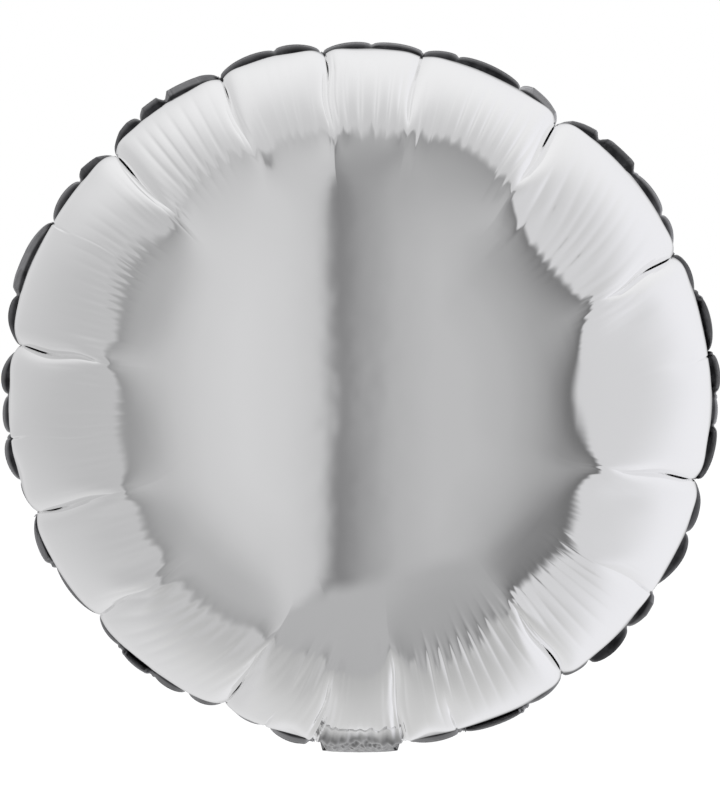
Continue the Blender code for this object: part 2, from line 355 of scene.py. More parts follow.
@dataclass
class Inflation:
    """Blows the film up, pinches its creases and wrinkles it.

    Args:
        profile: the balloon's section.
        creases: where the film folds.
        columns: points round each ring while the film is blown up.
        rings: rings of one disc while the film is blown up.
        shown_rings: its rings when it is done, without the crown's.
        crown_rings: rings of the smooth crown.
        steps: how many steps the film takes to settle.
        crown: flat radius inside which the film is smooth, in metres.
        eased_from: flat radius from which it eases into the solved film.
        eased_over: over how much it does so.
        outline_from: flat radius from which the rim takes the lobes' outline.
        outline_over: over how much it does so.
        rim_from: share of the weld's radius from which the wrinkles are the rim's own.
        lobe_excess: the spare length of a ring that its lobes take up; the rest is lost in their folds.
        lobe_start: the share of the weld's radius from which the lobes rise.
        first_half: half the width of a crease before the film is blown up.
        first_samples: places round a ring at which its first creases are laid.
        drawn: columns that each crease draws to itself.
        pinch: depth of a crease's sharp bottom.
        pinch_half: half its width.
        shoulder: how far from a crease the rim starts to fall, in radians.
        wrinkles: wide wrinkles in one turn.
        fine_wrinkles: fine ones.
        unevenness: how much the wrinkles' size varies round the balloon.
        seed: start of the random numbers.
    """

    profile: RoundProfile = field(default_factory=RoundProfile)
    creases: tuple[Crease, ...] = CREASES
    columns: int = 360
    rings: int = 28
    shown_rings: int = 39
    crown_rings: int = 6
    steps: int = 420
    crown: float = 0.066
    eased_from: float = 0.080
    eased_over: float = 0.028
    outline_from: float = 0.184
    outline_over: float = 0.034
    rim_from: float = 0.86
    lobe_excess: float = 0.040
    lobe_start: float = 0.64
    first_half: float = 0.008
    first_samples: int = 7200
    drawn: int = 14
    pinch: float = 0.0018
    pinch_half: float = 0.0009
    shoulder: float = 0.078
    wrinkles: int = 148
    fine_wrinkles: int = 230
    unevenness: float = 0.13
    seed: int = 7

    def run(self) -> BlownFilm:
        """Blow the film up.

        Returns:
            Its two sides, with the flat radii of their rings and the bearings of their columns.
        """
        flat = self.profile.rings(self.rings, self.crown)
        start = self.creased_start(flat)
        soft = np.ones(self.columns)
        soft[self.crease_columns()] = 0.0
        both = np.concatenate([start, start[-2::-1] * (1, -1, 1)])
        solver = FilmSolver(flat, both, self.ring_lengths(flat), soft[None, :, None])
        for _ in range(self.steps):
            solver.step(press=1.5e-7, damp=0.95, stiff=0.004, stiff_out=0.002)
        draw = np.random.default_rng(self.seed)
        at = np.linspace(0, self.rings - 1, self.shown_rings)
        inside = np.linspace(0.0, self.crown, self.crown_rings + 1)[:-1]
        whole = np.concatenate([inside, np.interp(at, np.arange(self.rings), flat)])
        sides = {}
        front, back = solver.points[: self.rings], solver.points[: self.rings - 2 : -1]
        for side, disc in ((Side.FRONT, front), (Side.BACK, back)):
            spare = 2 * disc[0] - disc[1], 2 * disc[-1] - disc[-2]
            disc = between(np.concatenate([spare[:1], disc, spare[1:]]), at + 1)
            disc, bearings = self.gathered(disc)
            disc = self.rimmed(self.crowned(disc, whole, bearings, side), whole, bearings)
            sides[side] = self.wrinkled(disc, whole, bearings, side, draw)
        creases = np.isin(np.round(bearings / TAU * self.columns, 6) % self.columns, self.crease_columns())
        return BlownFilm(whole, bearings, sides, creases)

    def crease_columns(self) -> np.ndarray:
        """Return the column of each crease."""
        return np.array([round(crease.bearing / 360 * self.columns) for crease in self.creases])

    def by_crease(self, bearings: np.ndarray) -> Iterator[tuple[Crease, np.ndarray]]:
        """Yield each crease with the angle from its column to each bearing."""
        for crease, column in zip(self.creases, self.crease_columns()):
            yield crease, np.abs(turn_from(column / self.columns * 360, bearings))

    def weights(self, share: float) -> np.ndarray:
        """Return each crease's part of the spare film at one ring, from its sector and its strength.

        Args:
            share: the ring's radius as a share of the weld's. A weak crease starts near the rim.

        Returns:
            Parts that add up to 1.
        """
        bearings = np.array([crease.bearing for crease in self.creases])
        strengths = np.array([crease.strength for crease in self.creases])
        gaps = (np.roll(bearings, -1) - bearings) % 360
        starts = self.lobe_start + 0.30 * (1 - strengths)
        part = (gaps + np.roll(gaps, 1)) / 2 * strengths**2
        part *= 0.001 + smooth((share - starts) / 0.12)
        return part / part.sum()

    def ring_lengths(self, flat: np.ndarray) -> np.ndarray:
        """Return each ring's length with what its lobes take up.

        Args:
            flat: flat radius of each ring.

        Returns:
            Lengths in metres.
        """
        radius, _ = self.profile.places(flat)
        spare = self.lobe_excess * np.tanh(TAU * (flat - radius) / self.lobe_excess)
        return TAU * radius + spare * smooth((radius / self.profile.weld_radius - self.lobe_start) / 0.16)

    def creased_start(self, flat: np.ndarray) -> np.ndarray:
        """Return one disc laid on the ideal section, with broad V creases that hold the spare length.

        Args:
            flat: flat radius of each ring.

        Returns:
            Points, rings by columns by x, y, z.
        """
        radius, height = self.profile.places(flat)
        slope = self.profile.slopes(radius)
        spare = self.ring_lengths(flat) - TAU * radius
        angles = np.linspace(0, TAU, self.first_samples, endpoint=False)
        half = self.first_half
        rows = np.zeros((len(flat), self.columns, 3))
        for k in range(len(flat)):
            inward = np.zeros(len(angles))
            for crease, weight in zip(self.creases, self.weights(radius[k] / self.profile.weld_radius)):
                depth = math.sqrt((half + spare[k] * weight / 2) ** 2 - half**2)
                across = np.abs(turn_from(crease.bearing, angles)) * radius[k]
                inward += depth * np.clip(1 - across / half, 0, 1)
            out = radius[k] - inward * math.sin(slope[k])
            up = height[k] - inward * math.cos(slope[k])
            rows[k] = self.evenly(np.stack([out * np.cos(angles), -up, out * np.sin(angles)], 1), angles)
        return rows

    def evenly(self, row: np.ndarray, angles: np.ndarray) -> np.ndarray:
        """Return points spread evenly along a closed row, without turning it as a whole.

        Args:
            row: the row's points.
            angles: their bearings.

        Returns:
            As many points as there are columns.
        """
        arc = running(row_lengths(row))
        film = arc[:-1] / arc[-1] * TAU
        film -= np.mean(film - angles)
        turns = np.concatenate([film - TAU, film, film + TAU])
        return follow(np.arange(self.columns) / self.columns * TAU, turns, np.tile(row, (3, 1)))

    def gathered(self, grid: np.ndarray) -> tuple[np.ndarray, np.ndarray]:
        """Return a disc on more columns, gathered at the creases. Between creases the film is smooth.

        Args:
            grid: the disc's points.

        Returns:
            The new points and the columns' bearings.
        """
        marks = np.sort(self.crease_columns())
        ends = np.append(marks[1:], marks[0] + self.columns)
        share = (ends - marks + self.drawn) / (self.columns + self.drawn * len(marks))
        counts = np.diff(np.round(running(share) * COLUMNS)).astype(int)
        parts, bearings = [], []
        for first, last, count in zip(marks, ends, counts):
            t = np.linspace(0, 1, SAMPLES)
            near = np.minimum(t, 1 - t) * (last - first)
            density = running(1 + 6 * np.exp(-((near[1:] / 1.1) ** 2)))
            at = np.interp(np.arange(count) / count, density / density[-1], t) * (last - first)
            p = grid[:, np.arange(first, last + 1) % self.columns]
            before = 3 * p[:, :1] - 3 * p[:, 1:2] + p[:, 2:3]
            after = 3 * p[:, -1:] - 3 * p[:, -2:-1] + p[:, -3:-2]
            lobe = np.concatenate([before, p, after], 1).transpose(1, 0, 2)
            parts.append(between(lobe, at + 1).transpose(1, 0, 2))
            bearings.append((first + at) / self.columns * TAU)
        return np.concatenate(parts, 1), np.concatenate(bearings)

    def crowned(self, grid: np.ndarray, flat: np.ndarray, bearings: np.ndarray, side: Side) -> np.ndarray:
        """Return one side with its smooth crown added and eased into the solved film.

        Args:
            grid: the side's points outside the crown.
            flat: flat radius of each ring, with the crown's.
            bearings: angle of each column.
            side: front or back.

        Returns:
            Points for every ring.
        """
        radius, height = self.profile.places(flat)
        ideal = np.empty((len(flat), len(bearings), 3))
        ideal[..., 0] = radius[:, None] * np.cos(bearings)
        ideal[..., 1] = side.value * height[:, None]
        ideal[..., 2] = radius[:, None] * np.sin(bearings)
        share = smooth((flat[-len(grid) :] - self.eased_from) / self.eased_over)[:, None, None]
        ideal[-len(grid) :] = ideal[-len(grid) :] * (1 - share) + grid * share
        return ideal

    def rimmed(self, grid: np.ndarray, flat: np.ndarray, bearings: np.ndarray) -> np.ndarray:
        """Return one side with its rim brought to the lobes' outline.

        Args:
            grid: the side's points.
            flat: flat radius of each ring.
            bearings: angle of each column.

        Returns:
            The moved points.
        """
        ideal = self.profile.places(flat)[0][:, None]
        degrees, table = np.degrees(bearings), np.array(RIM) / (1, 1000)
        wanted = sum(np.interp((degrees + shift) % 360, *table.T) for shift in range(-4, 5)) / 9
        weld = self.profile.weld_radius
        broad = (wanted - weld) * smooth((ideal / weld - 0.70) / 0.30)
        notches = sum(crease.notch / 1000 * np.exp(-turn / self.shoulder) for crease, turn in self.by_crease(bearings))
        radius = np.hypot(grid[..., 0], grid[..., 2]) + 1e-12
        outline = smooth((flat[:, None] - self.outline_from) / self.outline_over)
        scale = (radius * (1 - outline) + (ideal - notches) * outline + broad) / radius
        return grid * np.stack([scale, np.ones_like(scale), scale], -1)

    def wrinkled(
        self, grid: np.ndarray, flat: np.ndarray, bearings: np.ndarray, side: Side, draw: np.random.Generator
    ) -> np.ndarray:
        """Return one side with pinched creases, and with wrinkles that fan inwards from them.

        Args:
            grid: the side's points.
            flat: flat radius of each ring.
            bearings: angle of each column.
            side: front or back.
            draw: the source of random numbers.

        Returns:
            The moved points.
        """
        radius, _ = self.profile.places(flat)
        share = (radius / self.profile.weld_radius)[:, None]
        sunk, turned = self.pinched(share, bearings, draw)
        height = self.wrinkle_heights(share, bearings, draw)
        normal = grid_normals(grid, (0, -side.value, 0)) * -side.value
        slope = self.profile.slopes(radius)[:, None]
        out, up = np.sin(slope), np.cos(slope) * side.value
        section = np.stack([out * np.cos(bearings), up + 0 * bearings, out * np.sin(bearings)], -1)
        moved = grid + normal * height[..., None] - section * sunk[..., None]
        cos, sin = np.cos(turned), np.sin(turned)
        x, z = moved[..., 0].copy(), moved[..., 2].copy()
        moved[..., 0], moved[..., 2] = x * cos - z * sin, x * sin + z * cos
        return moved

    def pinched(
        self, share: np.ndarray, bearings: np.ndarray, draw: np.random.Generator
    ) -> tuple[np.ndarray, np.ndarray]:
        """Return how deep the creases' sharp bottoms lie, and how far the film turns as they lean and sway.

        Args:
            share: each ring's radius as a share of the weld's, as one column.
            bearings: angle of each column.
            draw: the source of random numbers.

        Returns:
            Depths in metres and turns in radians, rings by columns.
        """
        sunk = np.zeros((len(share), len(bearings)))
        turned = -by_bearing(LEANS, bearings)[1] * (1 - share) * smooth((share - 0.45) / 0.15)
        for crease, turn in self.by_crease(bearings):
            # A weak crease starts nearer the rim, and each is shallower at the weld itself
            start = 0.85 + 0.08 * (1 - crease.strength)
            depth = self.pinch * (0.3 + 0.7 * crease.strength) * smooth((share - start) / 0.07)
            depth = depth * (1 - 0.6 * smooth((share - 0.95) / 0.05))
            sunk += depth * np.clip(1 - turn * share * self.profile.weld_radius / self.pinch_half, 0, 1) ** 1.3
            sway = np.sin(share * draw.uniform(18, 32) + draw.uniform(0, TAU))
            turned = turned + 0.005 * np.exp(-((turn / 0.06) ** 2)) * sway
        return sunk, turned

    def wrinkle_heights(self, share: np.ndarray, bearings: np.ndarray, draw: np.random.Generator) -> np.ndarray:
        """Return how far the wrinkles stand off the film.

        Args:
            share: each ring's radius as a share of the weld's, as one column.
            bearings: angle of each column.
            draw: the source of random numbers.

        Returns:
            Heights in metres, rings by columns.
        """
        ends, slope = by_bearing(WRINKLE_ENDS, bearings)
        lean, twist = by_bearing(LEANS, bearings)
        near, valley = np.zeros(len(bearings)), np.ones(len(bearings))
        for crease, turn in self.by_crease(bearings):
            near += crease.strength * np.exp(-turn / 0.085)
            valley -= crease.strength * np.exp(-((turn / 0.02) ** 2))
        counts = (self.wrinkles, self.fine_wrinkles)
        waves, uneven = [count * bearings for count in counts], np.zeros(len(bearings))
        for harmonic in range(3, 50):
            for wave in waves:
                wave += draw.normal() / harmonic**0.5 * np.cos(harmonic * bearings + draw.uniform(0, TAU))
            uneven += draw.normal() * self.unevenness * np.cos(harmonic * bearings + draw.uniform(0, TAU))
        wave, fine_wave = (wave + count * (lean - twist) * (1 - share) for wave, count in zip(waves, counts))
        # Wide wrinkles start at the dark middle and reach further out beside a crease
        close = np.clip(near, 0, 1)
        inner = ends - 0.012 - 0.35 * slope * (1 + 0.5 * uneven)
        wide = slope * (1 + 0.35 * uneven) * smooth((share - inner) / (ends - inner + 0.03))
        wide = wide * (1 - smooth((share - (ends + 0.03) * (1 - close) - 0.83 * close) / (0.12 + 0.03 * close)))
        # On some lobes they run on, and fade just inside the weld
        streaks = sum(size * smooth((half - np.abs(turn_from(at, bearings))) / 0.12) for at, half, size in STREAKS)
        wide += streaks * smooth((share - ends + 0.03) / 0.06) * (1 - smooth((share - self.rim_from) / 0.12))
        # Fine ones stand in a narrow ring where the wide ones start, and as pleats on both sides of the neck
        ring = smooth((share - ends + 0.03) / 0.05) * (1 - smooth((share - ends - 0.03) / 0.06))
        aside = np.abs(turn_from(NECK_BEARING, bearings))
        pleats = (0.42 + 0.45 * np.exp(-(((aside - 0.115) / 0.035) ** 2))) * smooth((0.17 - aside) / 0.04)
        fine = 0.13 * smooth(slope / 0.10) * ring + pleats * smooth((share - self.rim_from) / 0.10) * (1 + uneven)
        # No wrinkle crosses a crease's bottom near the rim, except beside the neck
        calm = 1 - (1 - np.clip(valley, 0, 1)) * smooth((share - self.rim_from) / 0.06) * (aside > 0.2)
        # Narrow, sharp valleys lie between broad ridges
        phase = (wave + math.pi) % TAU - math.pi
        folds = wide / self.wrinkles * (0.36 - 1.35 * np.exp(-np.sqrt(phase**2 + 0.03) / 0.85))
        return calm * share * self.profile.weld_radius * (folds + fine / self.fine_wrinkles * np.cos(fine_wave))


def linear(code: str) -> tuple[float, float, float, float]:
    """Return a colour for a shader from its sRGB hex code."""
    parts = [int(code[i : i + 2], 16) / 255 for i in (1, 3, 5)]
    return (*(p / 12.92 if p <= 0.04045 else ((p + 0.055) / 1.055) ** 2.4 for p in parts), 1.0)


def add_node(
    tree: bpy.types.NodeTree,
    kind: str,
    sockets: dict | None = None,
    output: int | str = 0,
    stops: tuple[tuple, ...] = (),
    **settings: object,
) -> bpy.types.NodeSocket | None:
    """Add a node with its settings and its links.

    Args:
        tree: the node tree.
        kind: the node's type.
        sockets: a number, a hex colour or another node's output for each input, by name or number.
        output: the output that is wanted, by name or number.
        stops: places and colours of its colour ramp.
        **settings: the node's own properties.

    Returns:
        The wanted output, or None where the node has none.
    """
    node = tree.nodes.new(kind)
    for name, value in settings.items():
        setattr(node, name, value)
    for key, value in (sockets or {}).items():
        if isinstance(value, bpy.types.NodeSocket):
            tree.links.new(value, node.inputs[key])
        else:
            node.inputs[key].default_value = linear(value) if isinstance(value, str) else value
    if stops:
        for place, _ in stops[1:-1]:
            node.color_ramp.elements.new(place)
        for element, (place, colour) in zip(node.color_ramp.elements, stops):
            element.position, element.color = place, linear(colour) if isinstance(colour, str) else colour
    return node.outputs[output] if len(node.outputs) else None


def new_material(name: str) -> tuple[bpy.types.Material, bpy.types.NodeTree, bpy.types.NodeSocket]:
    """Start a material.

    Args:
        name: its name.

    Returns:
        The material, its node tree and the place on the piece that its patterns follow.
    """
    material = bpy.data.materials.new(name)
    material.use_nodes = True
    tree = material.node_tree
    tree.nodes.clear()
    return material, tree, add_node(tree, "ShaderNodeTexCoord", output="Object")


def finish_film(tree: bpy.types.NodeTree, pattern: dict, strength: float, depth_mm: float, surface: dict) -> None:
    """Finish a film's material: a fine relief, the surface and the material's output.

    Args:
        tree: the material's node tree.
        pattern: inputs of the noise that the relief follows.
        strength: how much of the relief shows.
        depth_mm: how deep the relief is.
        surface: the surface's inputs, without the relief.
    """
    noise = add_node(tree, "ShaderNodeTexNoise", pattern)
    relief = {"Height": noise, "Strength": strength, "Distance": depth_mm / 1000}
    surface = surface | {"Normal": add_node(tree, "ShaderNodeBump", relief)}
    add_node(tree, "ShaderNodeOutputMaterial", {"Surface": add_node(tree, "ShaderNodeBsdfPrincipled", surface)})


@dataclass(frozen=True)
class MetallisedFilm:
    """Polyester film with an evaporated aluminium coat: a bright, near-perfect mirror.

    Args:
        colour: the coat's colour.
        roughness: how much the coat scatters.
        ripple_mm: length of the film's faint unevenness.
    """

    colour: str = "#F4F4F4"
    roughness: float = 0.06
    ripple_mm: float = 14.0

    def build(self) -> bpy.types.Material:
        """Build the finish.

        Returns:
            The material.
        """
        material, tree, place = new_material("metallised_polyester_film")
        # Rolled film is never quite flat, which bends a reflection by a degree or so
        ripple = {"Vector": place, "Scale": 1000 / self.ripple_mm, "Detail": 1.0, "Roughness": 0.4}
        surface = {"Base Color": self.colour, "Metallic": 1.0, "Roughness": self.roughness}
        finish_film(tree, ripple, 0.35, 0.12, surface)
        return material


@dataclass(frozen=True)
class GatheredFilm:
    """Metallised film gathered into the neck: its coat cracks where it is squeezed, so it turns greyer and duller, and
    it is painted darker as shade between its pleats.

    Args:
        fresh: the whole coat's colour.
        crazed: the cracked coat's colour, also used for the painted shade between the pleats.
        roughness: how much it scatters.
        crack_mm: spacing of the cracks, coarser than the real ones so that they show.
    """

    fresh: str = "#F0F0F0"
    crazed: str = "#545454"
    roughness: float = 0.13
    crack_mm: float = 5.0

    def build(self) -> bpy.types.Material:
        """Build the finish, which the piece's own attribute turns greyer where the film is squeezed and where painted
        shade lies between its pleats.

        Returns:
            The material.
        """
        material, tree, place = new_material("crazed_polyester_film")
        # Crazing, with painted shade between the pleats
        crazing_and_pleat_shade = add_node(tree, "ShaderNodeAttribute", output="Fac", attribute_name="crazing_and_pleat_shade")
        coat = add_node(tree, "ShaderNodeMix", {0: crazing_and_pleat_shade, 6: self.fresh, 7: self.crazed}, 2, data_type="RGBA")
        cracks = {"Vector": place, "Scale": 1000 / self.crack_mm, "Detail": 2.0, "Roughness": 0.5}
        finish_film(tree, cracks, 0.35, 0.12, {"Base Color": coat, "Metallic": 1.0, "Roughness": self.roughness})
        return material


@dataclass(frozen=True)
class WeldedFilm:
    """Film that a hot bar has welded: the coat is crazed and crimped, so it is duller and darker, and its near-black
    colour is partly painted shade.

    Args:
        colour: the crazed coat's colour, near-black partly as painted shade.
        bright: its colour where the bar pressed less.
        whole: the colour of the painted reflection where a scallop catches light.
        roughness: how much it scatters.
        crazing_mm: size of the crazed patches.
        crimp_mm: spacing of the bar's ribs, coarser than the real ones so that they show.
        name: the material's name.
    """

    # Near-black partly for the crimped coat's dullness and partly as painted shade on the margin
    colour: str = "#2E2E30"
    bright: str = "#58585A"
    whole: str = "#C4C4C6"
    roughness: float = 0.34
    crazing_mm: float = 9.0
    crimp_mm: float = 2.2
    name: str = "heat_welded_polyester_film"

    def build(self) -> bpy.types.Material:
        """Build the finish, which the piece's own attribute brightens with a painted reflection.

        Returns:
            The material.
        """
        material, tree, place = new_material(self.name)
        # Pinholes and cracks in the coat, where the bar pressed
        crazing = {"Vector": place, "Scale": 1000 / self.crazing_mm, "Detail": 4.0, "Roughness": 0.6}
        pressed = {"Fac": add_node(tree, "ShaderNodeTexNoise", crazing)}
        tone = add_node(tree, "ShaderNodeValToRGB", pressed, stops=((0.40, self.colour), (0.75, self.bright)))
        # The attribute paints reflection on the scallops that catch light
        whole = add_node(tree, "ShaderNodeAttribute", output="Fac", attribute_name="painted_reflection")
        coat = add_node(tree, "ShaderNodeMix", {0: whole, 6: tone, 7: self.whole}, 2, data_type="RGBA")
        crimp = {"Vector": place, "Scale": 1000 / self.crimp_mm, "Detail": 2.0, "Roughness": 0.5}
        finish_film(tree, crimp, 0.5, 0.3, {"Base Color": coat, "Metallic": 1.0, "Roughness": self.roughness})
        return material


@dataclass(frozen=True)
class ValveFilm:
    """Clear polyethylene film: limp, slightly milky and glossy.

    Args:
        colour: the film's tint.
        roughness: how much it scatters.
        mark_mm: spacing of the marks that it was drawn out with.
    """

    colour: str = "#E8ECEE"
    roughness: float = 0.18
    mark_mm: float = 1.2

    def build(self) -> bpy.types.Material:
        """Build the finish.

        Returns:
            The material.
        """
        material, tree, place = new_material("clear_polyethylene_film")
        # The marks run along the strip
        along = add_node(tree, "ShaderNodeMapping", {"Vector": place, "Scale": (1.0, 0.08, 0.08)})
        marks = {"Vector": along, "Scale": 1000 / self.mark_mm, "Detail": 2.0}
        surface = {"Base Color": self.colour, "Roughness": self.roughness, "IOR": 1.51, "Transmission Weight": 0.55}
        finish_film(tree, marks, 0.3, 0.1, surface)
        return material


def put(bm: bmesh.types.BMesh, name: str, material: bpy.types.Material) -> bpy.types.Object:
    """Make an object at the origin from a bmesh, smooth but for its sharp edges.

    Args:
        bm: the bmesh, which is used up.
        name: the object's name.
        material: its material.

    Returns:
        The new object.
    """
    mesh = bpy.data.meshes.new(name)
    for face in bm.faces:
        face.smooth = True
    bm.to_mesh(mesh)
    bm.free()
    mesh.materials.append(material)
    obj = bpy.data.objects.new(name, mesh)
    bpy.context.scene.collection.objects.link(obj)
    return obj


def sheet_object(name: str, points: np.ndarray, material: bpy.types.Material, thickness: float) -> bpy.types.Object:
    """Make a sheet of film through rows and columns of points.

    Args:
        name: the object's name.
        points: rows by columns by x, y, z.
        material: its material.
        thickness: the film's thickness.

    Returns:
        The new object.
    """
    rows, columns = points.shape[:2]
    bm = bmesh.new()
    bmesh.ops.create_grid(bm, x_segments=columns - 1, y_segments=rows - 1, size=1.0)
    for vert, place in zip(bm.verts, points.reshape(-1, 3)):
        vert.co = place
    bmesh.ops.recalc_face_normals(bm, faces=bm.faces)
    obj = put(bm, name, material)
    wall = obj.modifiers.new("Thickness", "SOLIDIFY")
    wall.thickness, wall.offset = thickness, 0.0
    return obj


def mark(obj: bpy.types.Object, name: str, values: np.ndarray) -> None:
    """Give each point of a sheet a value under a name that its material reads."""
    attribute = obj.data.attributes.new(name, "FLOAT", "POINT")
    attribute.data.foreach_set("value", values.ravel().astype(np.float32))


@dataclass
class Envelope:
    """The two discs of film, each a strip of film rolled round its crown and moved to where the gas holds it.

    Args:
        film: the blown-up film.
        foil: its material.
        sharp_from: flat radius from which the creases are sharp.
    """

    film: BlownFilm
    foil: bpy.types.Material
    sharp_from: float = 0.155

    def build(self) -> list[bpy.types.Object]:
        """Return the two panels."""
        return [self.panel("front_panel", Side.FRONT), self.panel("back_panel", Side.BACK)]

    def panel(self, node: str, side: Side) -> bpy.types.Object:
        """Build one blown-up disc.

        Args:
            node: the CAD node that it stands for.
            side: front or back.

        Returns:
            The panel.
        """
        grid = self.film.sides[side]
        bm = bmesh.new()
        bmesh.ops.create_grid(bm, x_segments=COLUMNS, y_segments=len(grid) - 1, size=1.0)
        for index, vert in enumerate(bm.verts):
            ring, column = divmod(index, COLUMNS + 1)
            vert.co = grid[ring, column % COLUMNS]
        for edge in bm.edges:
            rings, columns = zip(*(divmod(vert.index, COLUMNS + 1) for vert in edge.verts))
            if columns[0] == columns[1] and self.film.creases[columns[0] % COLUMNS]:
                edge.smooth = self.film.flat[min(rings)] <= self.sharp_from
        bmesh.ops.remove_doubles(bm, verts=bm.verts, dist=1e-7)
        bmesh.ops.recalc_face_normals(bm, faces=bm.faces)
        middle = min(bm.faces, key=lambda face: face.calc_center_median().xz.length)
        if middle.normal.y * side.value < 0:
            bmesh.ops.reverse_faces(bm, faces=bm.faces)
        obj = put(bm, f"{node}_film", self.foil)
        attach(obj, "envelope")
        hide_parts(node)
        return obj


@dataclass
class Crumple:
    """Sharp, shallow creases in any direction, as handled film keeps them.

    Args:
        seed: start of the random numbers.
        count: how many families of creases there are.
        shortest: shortest distance between creases, in metres.
        longest: longest distance between them.
        spread: how far the families turn away from the film's length, in radians.
    """

    seed: int
    count: int = 14
    shortest: float = 0.004
    longest: float = 0.016
    spread: float = 0.9

    def heights(self, u: np.ndarray, v: np.ndarray, lean: float = 1.0) -> np.ndarray:
        """Work out the creases' heights.

        Args:
            u: place across the film.
            v: place along it.
            lean: 0 for creases along the film only, 1 for creases in any direction.

        Returns:
            Heights from about -1 to 1.
        """
        draw = np.random.default_rng(self.seed)
        total = np.zeros(np.broadcast(u, v).shape)
        for _ in range(self.count):
            turn = draw.normal() * self.spread * lean
            pitch = self.shortest * (self.longest / self.shortest) ** draw.random()
            phase = (u * math.cos(turn) + v * math.sin(turn)) / pitch + draw.random()
            total += (np.abs((phase % 1.0) * 2 - 1) * 2 - 1) * pitch / self.longest
        return total / math.sqrt(self.count)


# The margin's scallops: first and last bearing in degrees, height that shows from the front in mm, brightness of the
# painted reflection
SCALLOPS = (
    (0.0, 6.6, 5.2, 0.0), (6.6, 16.0, 4.4, 0.1), (16.0, 24.9, 4.7, 0.1), (24.9, 31.0, 4.7, 0.1),
    (31.0, 39.0, 5.1, 0.0), (39.0, 46.5, 6.2, 0.0), (46.5, 53.8, 6.4, 0.0), (53.8, 63.0, 6.4, 0.9),
    (63.0, 74.0, 5.2, 0.0), (74.0, 79.8, 5.1, 0.1), (79.8, 88.0, 5.0, 0.0), (88.0, 96.6, 4.9, 0.1),
    (96.6, 104.0, 5.4, 0.1), (104.0, 114.2, 5.2, 0.1), (114.2, 123.4, 6.3, 0.6), (123.4, 128.7, 6.4, 0.0),
    (128.7, 136.0, 5.8, 0.0), (136.0, 143.0, 6.2, 0.1), (143.0, 151.0, 5.2, 0.1), (151.0, 163.7, 5.8, 0.6),
    (163.7, 172.5, 5.6, 0.0), (172.5, 180.0, 5.6, 0.0), (180.0, 186.0, 4.5, 0.1), (186.0, 194.5, 5.4, 0.0),
    (194.5, 200.6, 3.2, 0.6), (200.6, 209.0, 4.2, 0.7), (209.0, 220.0, 3.2, 0.3), (220.0, 227.0, 3.6, 0.2),
    (227.0, 233.0, 3.7, 0.2), (233.0, 239.5, 4.4, 0.4), (239.5, 246.0, 4.4, 0.5), (246.0, 255.0, 3.4, 0.8),
    (255.0, 263.0, 5.2, 0.7), (277.0, 287.0, 4.8, 0.6), (287.0, 297.5, 3.3, 0.6), (297.5, 305.8, 3.8, 0.2),
    (305.8, 311.0, 3.6, 0.3), (311.0, 319.0, 5.6, 0.0), (319.0, 326.3, 5.9, 0.0), (326.3, 336.8, 5.4, 0.0),
    (336.8, 346.0, 4.9, 0.1), (346.0, 355.0, 5.1, 0.0), (355.0, 360.0, 4.2, 0.0),
)


